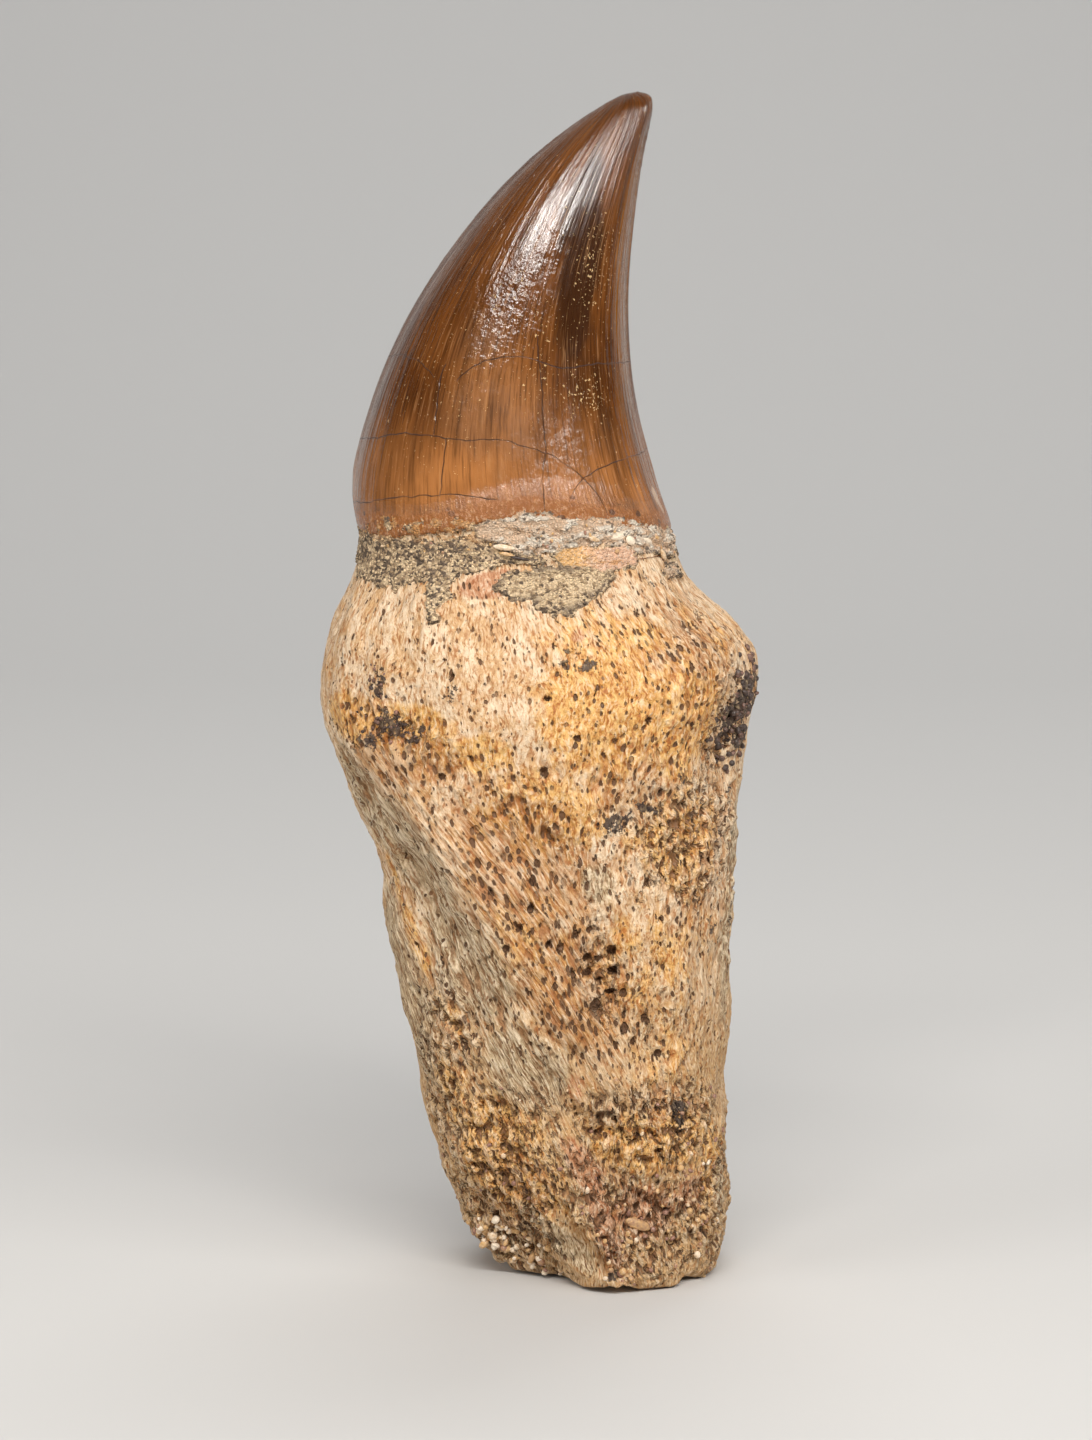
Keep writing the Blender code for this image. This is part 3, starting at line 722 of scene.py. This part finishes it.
LENS = (
    (270, 71, 2.4, 1.5, 1), (282, 70.7, 3.8, 2.3, 1), (293, 71.5, 3, 1.5, 1, 20),
)
CRUST = (
    (266, 76.2, 2.6, 1.3, 0.8), (278, 76, 4, 2.2, 1), (292, 76, 4.2, 1.6, 1), (307, 75.9, 4.2, 1.4, 1),
    (322, 74.9, 4.2, 1.5, 0.95), (340, 74.2, 4, 1.4, 0.9), (335, 71.6, 4, 1.2, 0.45),
    (40, 75, 5, 1.2, 0.8), (85, 75.2, 5, 1.3, 0.9), (150, 74.8, 6, 1.3, 0.8),
)
PEACH = (
    (293, 73.7, 2.6, 1.1, 1), (303, 73.4, 3.4, 1.2, 1),
)
keep_spots(rock, lens=LENS, crust=CRUST, peach=PEACH)
keep(rock, "cover", np.max([patches(rock, spots) for spots in (GRIT, LENS, CRUST, PEACH)], axis=0))

SAND_GRAIN = (0.29, 0.29, 0.25)
FLAKE = (1.5, 1.5, 0.7)


def rock_texture(nodes):
    """Where rock is left, from 0 to 1, then the rise of its grains and the colour that tells them apart,
    and the same of its flakes."""
    place = nodes.object_place()
    cover = nodes.read("cover")
    torn = nodes.noise(place, (1.4, 1.4, 1.1), detail=4, roughness=0.7)
    left_over = nodes.ramp(nodes.sum(cover, nodes.times(torn, 1.5)), 1.02, 1.16)
    left_over = nodes.times(left_over, nodes.ramp(cover, 0.05, 0.25))
    loose = nodes.bent(place, (0.5, 0.5, 0.5), (0.3, 0.3, 0.3))
    near_grain, kind = nodes.cells(loose, SAND_GRAIN)
    near_flake, flake_kind = nodes.cells(nodes.bent(place, (0.9, 0.9, 0.9), (0.9, 0.9, 0.5)), FLAKE)
    grain_rise, flake_rise = nodes.ramp(near_grain, 0.62, 0.15), nodes.ramp(near_flake, 0.62, 0.5)
    return left_over, grain_rise, kind, flake_rise, flake_kind


def rock_relief(nodes):
    left_over, grain_rise, _, flake_rise, flake_kind = rock_texture(nodes)
    knot = nodes.noise(nodes.object_place(), (1.3, 1.3, 1.1), detail=2, shift=(5, 5, 5))
    flake = nodes.times(flake_rise, nodes.scale(nodes.part(flake_kind, "X"), 0.1, 0.6), nodes.read("crust"))
    proud = nodes.sum(nodes.times(grain_rise, 0.12), nodes.times(knot, 0.6), flake, -0.3)
    return nodes.sum(nodes.times(left_over, nodes.sum(proud, 0.8)), -0.8)


carve(rock, rock_relief)

DARK_SAND, LIGHT_SAND, GREY_SAND = (0.12, 0.08, 0.05), (0.95, 0.7, 0.42), (0.5, 0.335, 0.18)
PALE_CRUST, TAN_CRUST, ORANGE_STAIN = (1.0, 0.88, 0.72), (0.8, 0.52, 0.32), (0.66, 0.28, 0.06)
GOLD_PATCH, PINK_PATCH = (0.8, 0.45, 0.17), (0.78, 0.46, 0.29)

nodes, rock_shader = finish_for(rock, "phosphate rock")
_, grain_rise, kind, flake_rise, flake_kind = rock_texture(nodes)
place = nodes.object_place()
tone = nodes.part(kind, "X")
cloud = nodes.noise(place, (1.5, 1.5, 1.1), detail=3, roughness=0.65, shift=(1, 6, 2))
fine = nodes.noise(place, (0.2, 0.2, 0.2), detail=2, roughness=0.7)
lens = nodes.read("lens")
shade = nodes.sum(tone, nodes.times(nodes.less(cloud, 0.5), 1.6), nodes.ramp(lens, 0.3, 0.9, 0, 0.3))
sandy = nodes.mix(nodes.ramp(shade, 0.2, 0.5), DARK_SAND, GREY_SAND)
sandy = nodes.mix(nodes.ramp(shade, 0.5, 0.85), sandy, LIGHT_SAND)
rim = nodes.times(nodes.ramp(lens, 0.9, 0.5), nodes.ramp(lens, 0.1, 0.3), nodes.ramp(cloud, 0.47, 0.53))
sandy = nodes.mix(nodes.times(rim, 0.65), sandy, DARK_SAND)
pale = nodes.mix(nodes.ramp(cloud, 0.38, 0.62), PALE_CRUST, TAN_CRUST)
pale = nodes.mix(nodes.ramp(nodes.part(flake_kind, "Y"), 0.3, 0.9, 0, 0.6), pale, PALE_CRUST)
pale = nodes.mix(nodes.ramp(tone, 0.17, 0.1, 0, 0.85), pale, DARK_SAND)
pale = nodes.mix(nodes.ramp(flake_rise, 0.5, 0, 0, 0.7), pale, TAN_CRUST)
share = nodes.ragged(nodes.read("crust"), cloud, reach=0.8, low=0.3, high=0.55)
nodes.colour = nodes.mix(share, sandy, pale)
stain = nodes.times(nodes.ramp(nodes.part(place, "Z"), 74.4, 76), nodes.ramp(cloud, 0.4, 0.55), 0.75)
stain = nodes.times(stain, nodes.ramp(nodes.read("crust"), 0.4, 0.1))
nodes.over(stain, ORANGE_STAIN)
peach = nodes.ragged(nodes.read("peach"), cloud, reach=1.2, low=0.4, high=0.6)
rightward = nodes.sum(nodes.part(place, "X"), nodes.times(cloud, 6))
patch = nodes.mix(nodes.ramp(rightward, 6.5, 9.5), GOLD_PATCH, PINK_PATCH)
patch = nodes.mix(nodes.ramp(fine, 0.5, 0.68, 0, 0.5), patch, PALE_CRUST)
patch = nodes.mix(nodes.ramp(cloud, 0.45, 0.35, 0, 0.6), patch, ORANGE_STAIN)
nodes.over(peach, patch)
seam = nodes.times(nodes.ramp(grain_rise, 0.4, 0, 0, 0.6), nodes.scale(peach, 1, 0.25))
nodes.over(seam, nodes.mix(0.7, nodes.colour, DARK_SAND))
height = nodes.sum(nodes.times(grain_rise, 0.16), nodes.times(fine, 0.12), nodes.times(flake_rise, 0.1))
show(nodes, rock_shader, height, nodes.ramp(tone, 0, 1, 0.8, 0.4))

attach(rock, "root")

# Grains and flakes
# Single sand grains, beads and flakes of the same rock sit in the hollows of the broken foot, in the dark
# stains and along the neck. The rock's own cement holds them, sunk to about half their size.

GRAIN_BEDS = (  # where they lie, as for patches(), then how many, their size and how pale they are
    (((214, 4.2, 2.8, 2.2, 1), (224, 2.8, 3.4, 1.6, 0.8)), 80, (0.45, 1.0), (0.45, 1.0)),
    (((296, 8, 6, 4.5, 1), (282, 4, 4, 3, 0.8), (332, 8, 4, 7, 0.9)), 110, (0.3, 0.75), (0.3, 0.9)),
    (((302, 17, 8, 4.5, 1), (236, 12, 8, 8, 0.8)), 80, (0.25, 0.6), (0.25, 0.85)),
    (((229, 57.2, 3.4, 2, 1, -20), (225.5, 61.4, 1.2, 2.2, 0.8, 10)), 50, (0.25, 0.55), (0.0, 0.3)),
    (((337, 58.2, 2.6, 5.6, 1, -40), (338, 54.5, 2.4, 3, 0.9)), 80, (0.35, 0.95), (0.0, 0.22)),
    (((230, 74.6, 8, 1, 1), (290, 75.2, 8, 1.6, 1), (335, 74, 5, 1, 0.8)), 60, (0.2, 0.45), (0.35, 0.8)),
    (((60, 20, 9, 9, 1), (130, 10, 9, 8, 1)), 50, (0.4, 0.9), (0.2, 0.8)),
)
FLAKES = (  # degrees round, height, length, width, thickness, lean and how pale
    (266, 74.7, 2.2, 0.6, 0.6, 84, 0.84), (266.5, 74, 1.5, 0.4, 0.5, 80, 0.72),
    (271.5, 73.5, 2, 0.3, 0.3, 80, 0), (308, 75.5, 2.4, 1.1, 0.6, 80, 1),
    (313, 75, 1.4, 0.9, 0.5, 60, 1), (298, 75.3, 1.3, 0.5, 0.4, 70, 0.8),
    (322, 74.8, 1.5, 0.7, 0.5, 75, 0.95), (292, 6.8, 3, 1.15, 0.6, 66, 0.55),
    (285.5, 22.2, 0.9, 0.6, 0.5, 30, 0.55), (329, 73.2, 1.5, 0.6, 0.5, 40, 0.8),
)
ROUND_WEIGHT, ASIDE_WEIGHT = 250, 20.0  # keep a flake near its place, yet on the outermost surface there

rng = np.random.default_rng(11)
surface = np.vstack((places(root), places(rock)))
angle, z = (np.concatenate(pair) for pair in zip(round_and_up(root)[:2], round_and_up(rock)[:2]))
bpy.ops.object.select_all(action="DESELECT")
bpy.ops.mesh.primitive_ico_sphere_add(subdivisions=2, radius=0.5 * MM)
seed_grain = bpy.context.object
grains = []


def add_grain(place, turn, size, tone):
    grain = bpy.data.objects.new("grain", seed_grain.data.copy())
    bpy.context.scene.collection.objects.link(grain)
    grain.matrix_world = Matrix.LocRotScale(Vector(place) * MM, turn, Vector(size))
    keep(grain, "tone", np.full(len(grain.data.vertices), tone))
    grains.append(grain)


for spots, count, sizes, tones in GRAIN_BEDS:
    share = np.clip(np.concatenate((patches(root, spots), patches(rock, spots))), 0.0, 1.0)
    for index in rng.choice(len(share), count, replace=False, p=share / share.sum()):
        turn = Euler(rng.uniform(0.0, 2 * math.pi, 3)).to_quaternion()
        size = rng.uniform(*sizes) * rng.uniform(0.6, 1.25, 3)
        add_grain(surface[index], turn, size, rng.uniform(*tones))
for around, up, long, wide, thick, lean, tone in FLAKES:
    outward = Vector((math.cos(math.radians(around)), math.sin(math.radians(around)), 0.0))
    aside = np.radians(away(angle, around)) ** 2 * ROUND_WEIGHT + (z - up) ** 2
    index = np.argmax(surface @ np.array(outward) - ASIDE_WEIGHT * aside)
    axis_long = Quaternion(outward, math.radians(lean)) @ Vector((0.0, 0.0, 1.0))
    frame_of_flake = Matrix((outward.cross(axis_long), outward, axis_long)).transposed()
    add_grain(surface[index], frame_of_flake.to_quaternion(), (wide, thick, long), tone)

bpy.data.objects.remove(seed_grain)
bpy.ops.object.select_all(action="DESELECT")
for grain in grains:
    grain.select_set(True)
bpy.context.view_layer.objects.active = grains[0]
bpy.ops.object.join()
loose_grains = bpy.context.object
loose_grains.name = "loose_grains"
bpy.ops.object.transform_apply(location=True, rotation=True, scale=True)
bpy.ops.object.shade_smooth()
stay_in_box(loose_grains)

BLACK_SAND, RUST_SAND = (0.06, 0.036, 0.026), (0.33, 0.17, 0.115)
AMBER_SAND, PALE_SAND = (0.66, 0.4, 0.17), (0.93, 0.78, 0.6)

nodes, grain_shader = finish_for(loose_grains, "sand grains")
place = nodes.object_place()
tone = nodes.read("tone")
mottle = nodes.noise(place, (0.4, 0.4, 0.4), detail=3, roughness=0.65)
fine = nodes.noise(place, (0.12, 0.12, 0.12), detail=2)
shade = nodes.sum(tone, nodes.times(nodes.less(mottle, 0.5), 0.5))
nodes.colour = nodes.mix(nodes.ramp(shade, 0.05, 0.35), BLACK_SAND, RUST_SAND)
nodes.over(nodes.ramp(shade, 0.4, 0.65), AMBER_SAND)
nodes.over(nodes.ramp(shade, 0.7, 0.95), PALE_SAND)
height = nodes.sum(nodes.times(mottle, 0.15), nodes.times(fine, 0.05))
show(nodes, grain_shader, height, nodes.ramp(mottle, 0.3, 0.7, 0.25, 0.6))

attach(loose_grains, "root")

# Enamel crown
# The crown is capped in hard, glossy enamel, stained amber to dark brown, with fine lines that run to
# the tip. It is crazed by a few long cracks, and stops in a ragged edge above the neck. Beside its
# highlight it is painted darker, a painted dark reflection; its sides are painted lighter, partly painted
# light; and a milky patch low on its front is partly painted sheen.

crown = part_of(body, "enamel_crown", low=72.0, high=None, voxel=0.235)
apply_modifier(crown, "SMOOTH", factor=0.5, iterations=4)
keep(crown, "grain", grain_of(crown, CROWN_RADIUS))
keep(crown, "above", above_enamel_line(crown))
TAN = (
    (265, 80, 12, 5.5, 1), (225, 80, 8, 5, 0.7), (310, 79.5, 7, 4.5, 0.85), (268, 88, 5, 6, 0.6),
    (120, 80, 12, 6, 0.9), (50, 80, 9, 6, 0.7),
)
# Where a milky patch is painted pale low on the crown: partly the enamel's own milky tone, partly painted
# sheen.
MILKY_SHEEN = (
    (265, 87, 5, 5.5, 1), (255, 94, 3.5, 4, 0.7), (286, 86, 2.5, 5, 0.5), (100, 88, 7, 7, 0.8),
)
# Where the crown is painted darker: a painted dark reflection beside the highlight, over the enamel's own
# brown.
PAINTED_SHADE = (
    (303, 100, 2.8, 10, 0.9), (310, 90, 3.4, 5, 0.55), (285, 108, 2.5, 6, 0.8), (320, 86, 3, 4, 0.5),
    (60, 100, 4, 10, 0.8), (150, 98, 4, 9, 0.6),
)
# Where the crown's sides are painted lighter amber: partly the enamel's own amber, partly painted light.
LIT_AMBER_SIDES = (
    (345, 100, 3, 16, 1), (335, 88, 2, 6, 0.6), (15, 100, 3, 14, 0.8), (185, 90, 4, 10, 0.5),
)
SPECKLED = (
    (309, 89, 3.4, 2.8, 1), (312, 100.5, 2.4, 6, 0.8), (262, 99, 2.5, 2.5, 0.5), (285, 93, 2, 6, 0.6),
    (240, 90, 6, 8, 0.35), (80, 95, 6, 8, 0.6),
)
SCUFFED = (
    (264, 98.5, 4.4, 5.4, 1, 12), (262, 94, 3.2, 3.2, 0.8), (254, 89, 3.2, 4, 0.4),
    (266, 82, 5, 5, 0.25), (290, 82, 4, 4, 0.2),
)
CHIPPED = ((346, 78.5, 1.1, 1.2, 0.85, 20), (348, 77.3, 0.8, 0.8, 0.7))
keep_spots(crown, tan=TAN, milk=MILKY_SHEEN, shade=PAINTED_SHADE, amber=LIT_AMBER_SIDES)
keep_spots(crown, speckled=SPECKLED, scuffed=SCUFFED, chip=CHIPPED)


def enamel_edge(nodes):
    """Height over the ragged lower edge of the enamel."""
    place = nodes.object_place()
    wave = nodes.noise(place, (4, 4, 4), detail=1, shift=(3, 3, 3))
    nick = nodes.noise(place, (0.9, 0.9, 0.9), detail=2)
    ragged = nodes.sum(nodes.times(wave, 1.6), nodes.times(nick, 1.4), -1.5)
    return nodes.sum(nodes.read("above"), ragged)


def enamel_relief(nodes):
    grain = nodes.read("grain", vector=True)
    edge = enamel_edge(nodes)
    line = nodes.noise(grain, (0.8, 0.8, 16), detail=2)
    dent = nodes.noise(nodes.object_place(), (1.1, 1.1, 1.5), detail=2)
    return nodes.sum(
        nodes.ramp(edge, -0.3, 0.35, -1.1, 0),
        nodes.times(nodes.less(line, 0.5), 0.12),
        nodes.times(nodes.less(dent, 0.5), nodes.scale(nodes.read("scuffed"), 0.04, 0.26)),
    )


carve(crown, enamel_relief)
stay_in_box(crown)

# Each crack runs across the crown, as height over x, or down it, as x over height.
CRACKS_ACROSS = (
    ((-20, 90.5), (-15.1, 91.9), (-13.2, 92.5), (-11.1, 91.6), (-10.2, 90.6)),
    ((-8.2, 90.3), (-6.6, 91.7), (-3.8, 92.8), (-1.8, 92.8), (3.1, 91.6), (5.5, 91.9), (12, 90.6)),
    (
        (-21, 82.4), (-15.4, 84.7), (-12.5, 85.3), (-7.6, 84.9),
        (-3.8, 84.9), (0.6, 83.6), (4.1, 81.2), (7, 77),
    ),
    ((3, 79.2), (4.1, 80.9), (7, 82.3), (12.5, 82.9)),
    ((-21, 76.4), (-15.6, 78.7), (-11.8, 79.4), (-6.6, 79.6), (-4, 79.2)),
)
CRACKS_DOWN = (
    ((77, 0.7), (82, 0.4), (83.6, 0.6), (87.1, 0.4), (95, -0.2)),
    ((85.3, -10.2), (88.7, -9.9), (92.1, -9.1)),
    ((79.4, -9.6), (82.3, -9.3), (85.1, -9)),
)
CRACK_WIDTH = 0.075


def crack(nodes, along, across, points, width):
    """How far each place is in a crack through these points, from 0 to 1."""
    starts, values = [p[0] for p in points], [p[1] for p in points]
    low, high = min(values) - 1.0, max(values) + 1.0
    share = nodes.add("ShaderNodeMapRange", {0: along, 1: starts[0], 2: starts[-1]})
    curve = nodes.add("ShaderNodeFloatCurve", {"Value": share}).node
    knots = curve.mapping.curves[0].points
    for _ in points[2:]:
        knots.new(0.5, 0.5)
    for knot, (start, value) in zip(knots, points):
        knot.location = ((start - starts[0]) / (starts[-1] - starts[0]), (value - low) / (high - low))
    curve.mapping.update()
    line = nodes.scale(curve.outputs[0], low, high)
    off = nodes.math("ABSOLUTE", nodes.less(across, line))
    inside = nodes.times(nodes.ramp(share, 0, 0.02), nodes.ramp(share, 1, 0.98))
    return nodes.times(nodes.ramp(off, width, width * 0.25), inside)


nodes, enamel_shader = finish_for(crown, "enamel")
place = nodes.object_place()
grain = nodes.read("grain", vector=True)
above = nodes.read("above")
scuff = nodes.read("scuffed")
fine_line = nodes.noise(grain, (0.24, 0.24, 5), detail=3, roughness=0.65)
long_line = nodes.noise(grain, (0.9, 0.9, 16), detail=2, shift=(4, 0, 0))
cloud = nodes.noise(grain, (3, 3, 6), detail=3, shift=(1, 8, 0))
grit = nodes.noise(place, (0.34, 0.34, 0.42), detail=3, roughness=0.7)
ripple = nodes.noise(place, (0.6, 0.6, 0.7), detail=2, roughness=0.6, shift=(9, 2, 4))

RED_AMBER, UPPER_BROWN, DARK_AMBER = (0.165, 0.055, 0.012), (0.105, 0.033, 0.007), (0.046, 0.016, 0.005)
TAN_TONE, MILKY_SHEEN_TONE = (0.47, 0.185, 0.055), (0.17, 0.07, 0.026)
LIT_AMBER_TONE, FOOT_ORANGE = (0.24, 0.086, 0.01), (0.3, 0.095, 0.011)
SPECK_GOLD, CRACK_BROWN, CHIP_TONE = (0.8, 0.54, 0.24), (0.05, 0.02, 0.01), (0.58, 0.38, 0.24)
PALE_LINE = (0.5, 0.25, 0.1)
height_up = nodes.part(place, "Z")
nodes.colour = nodes.mix(nodes.ramp(cloud, 0.35, 0.65), RED_AMBER, UPPER_BROWN)
# The sides are painted lighter amber: the enamel's own amber, lightened by painted light.
nodes.over(nodes.ragged(nodes.read("amber"), cloud, reach=0.4), LIT_AMBER_TONE)
# Painted dark reflection: the crown beside the highlight is painted darker than its own brown.
nodes.over(nodes.ragged(nodes.read("shade"), cloud, reach=0.6), DARK_AMBER)
# The milky patch is painted pale: partly the enamel's own tone, partly painted sheen.
milk = nodes.ragged(nodes.read("milk"), cloud, reach=0.6, low=0.15, high=0.9)
nodes.over(milk, MILKY_SHEEN_TONE)
low_down = nodes.times(nodes.ramp(height_up, 90, 79), nodes.ramp(cloud, 0.25, 0.6, 1, 0.55))
tan_here = nodes.times(nodes.read("tan"), nodes.ramp(cloud, 0.3, 0.65, 1, 0.6))
nodes.over(nodes.most(low_down, tan_here), TAN_TONE)
streak = nodes.times(nodes.ramp(fine_line, 0.47, 0.66), nodes.ramp(height_up, 80, 92, 0.6, 0.95))
nodes.over(streak, nodes.mix(0.72, nodes.colour, DARK_AMBER))
nodes.over(nodes.ramp(fine_line, 0.44, 0.3, 0, 0.6), nodes.mix(0.6, nodes.colour, PALE_LINE))
nodes.over(nodes.ramp(long_line, 0.5, 0.72, 0, 0.6), nodes.mix(0.6, nodes.colour, DARK_AMBER))
foot_band = nodes.ragged(nodes.ramp(above, 3.4, 1.2), cloud, reach=0.7)
foot_tone = nodes.mix(nodes.ramp(grit, 0.48, 0.64), FOOT_ORANGE, TAN_TONE)
nodes.over(nodes.times(foot_band, 0.85), foot_tone)
chip = nodes.ragged(nodes.read("chip"), grit, reach=1.2, low=0.45, high=0.6)
nodes.over(chip, CHIP_TONE)

nick_noise = nodes.noise(place, (0.27, 0.27, 0.32), detail=2, roughness=0.7, shift=(2, 5, 1))
gold = nodes.ramp(nodes.sum(nick_noise, nodes.times(nodes.read("speckled"), 0.11)), 0.705, 0.74)
nodes.over(nodes.times(gold, 0.85), SPECK_GOLD)
bits = nodes.times(nodes.ramp(grit, 0.56, 0.62), nodes.ramp(above, 2.6, 0.8))
nodes.over(nodes.times(bits, 0.55), CHIP_TONE)
near_spot, spot_kind = nodes.cells(place, (1.2, 1.2, 1), shift=(2, 5, 1))
spot_size = nodes.scale(nodes.part(spot_kind, "X"), 0.05, 0.34)
spot = nodes.ramp(nodes.less(near_spot, spot_size), 0.05, -0.05)
spot = nodes.times(spot, nodes.ramp(above, 3.2, 2.2), 0.85)
nodes.over(spot, nodes.mix(nodes.part(spot_kind, "Y"), CRACK_BROWN, FOOT_ORANGE))

wobble = nodes.bent(place, (1.5, 1.5, 1.5), (0.5, 0.5, 0.5), shift=(6, 6, 6))
x, y, z = (nodes.part(wobble, axis) for axis in "XYZ")
z = nodes.sum(z, nodes.times(nodes.most(y, 0), 0.12))
all_cracks = None
for points in CRACKS_ACROSS:
    found = crack(nodes, x, z, points, CRACK_WIDTH)
    all_cracks = found if all_cracks is None else nodes.most(all_cracks, found)
front = nodes.ramp(y, 0, -2)
for points in CRACKS_DOWN:
    found = nodes.times(crack(nodes, z, x, points, CRACK_WIDTH), front)
    all_cracks = nodes.most(all_cracks, found)
faint = nodes.ramp(nodes.noise(place, (2.5, 2.5, 2.5), detail=1), 0.3, 0.6, 0.35, 1)
all_cracks = nodes.times(all_cracks, faint)
nodes.over(nodes.times(all_cracks, 0.85), CRACK_BROWN)

height = nodes.sum(
    nodes.times(fine_line, 0.075),
    nodes.times(long_line, 0.18),
    nodes.times(grit, nodes.scale(scuff, 0.012, 0.07)),
    nodes.times(grit, nodes.ramp(above, 4.5, 1.5, 0, 0.3)),
    nodes.times(ripple, nodes.scale(scuff, 0.012, 0.17)),
    nodes.times(nick_noise, nodes.scale(scuff, 0.004, 0.03)),
    nodes.times(gold, -0.04),
    nodes.times(all_cracks, -0.12),
)
worn = nodes.sum(nodes.ramp(cloud, 0.4, 0.7, 0.15, 0.22), nodes.times(milk, 0.12), nodes.times(gold, 0.2))
worn = nodes.sum(worn, nodes.ramp(above, 4.5, 1.5, 0, 0.3), nodes.times(all_cracks, 0.4))
bump = show(nodes, enamel_shader, height, worn)
nodes.tree.links.new(bump, enamel_shader.inputs["Coat Normal"])
enamel_shader.inputs["Specular IOR Level"].default_value = 0.2
enamel_shader.inputs["Coat Weight"].default_value = 0.85
enamel_shader.inputs["Coat Roughness"].default_value = 0.06

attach(crown, "root")

bpy.data.objects.remove(body)
